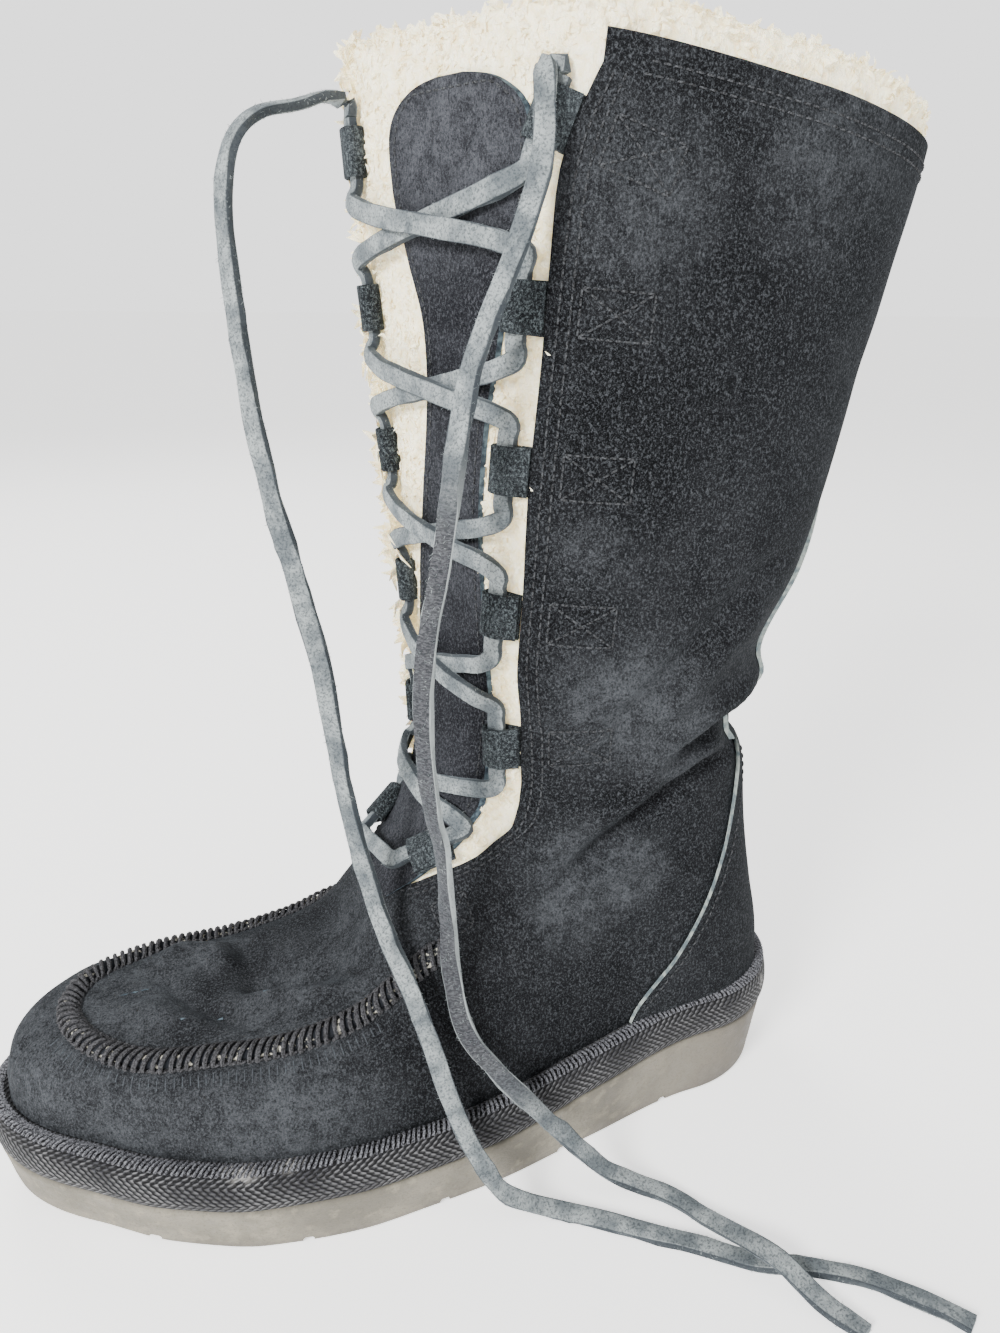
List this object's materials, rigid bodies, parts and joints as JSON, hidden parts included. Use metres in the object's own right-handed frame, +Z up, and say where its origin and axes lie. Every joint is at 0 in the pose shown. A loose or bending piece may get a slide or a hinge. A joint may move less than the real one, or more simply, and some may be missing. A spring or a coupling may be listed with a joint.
{
  "type": "mukluk boot",
  "caption": "Tall left suede boot with fleece lining and collar, open laced front with folded loops, raised toe seam, woven welt band and thick flat sole.",
  "frame": {"origin": "on the floor under the middle of the heel", "axes": "+X to the toe, +Y to the wearer's outer side, +Z up the shaft"},
  "size_m": [0.3099, 0.2033, 0.3576],
  "materials": {
    "sole": "matte, scuffed",
    "braid": "woven tape",
    "suede": "napped suede",
    "suede_trim": "napped suede",
    "fleece": "curly pile",
    "lace": "raw suede"
  },
  "bodies": {
    "root": {"sole": "sole", "welt_band": "braid", "upper": "suede", "heel_counter": "suede_trim", "back_stay": "suede_trim", "plug_seam": "suede_trim", "insole": "fleece", "collar_lining": "fleece", "tongue": "fleece", "tongue_panel": "suede", "loop_outer_1": "suede_trim", "loop_inner_1": "suede_trim", "loop_outer_2": "suede_trim", "loop_inner_2": "suede_trim", "loop_outer_3": "suede_trim", "loop_inner_3": "suede_trim", "loop_outer_4": "suede_trim", "loop_inner_4": "suede_trim", "loop_outer_5": "suede_trim", "loop_inner_5": "suede_trim", "loop_outer_6": "suede_trim", "loop_inner_6": "suede_trim", "lace_crossings": "lace", "lace_end_outer": "lace", "lace_end_inner": "lace"}
  },
  "joints": []
}
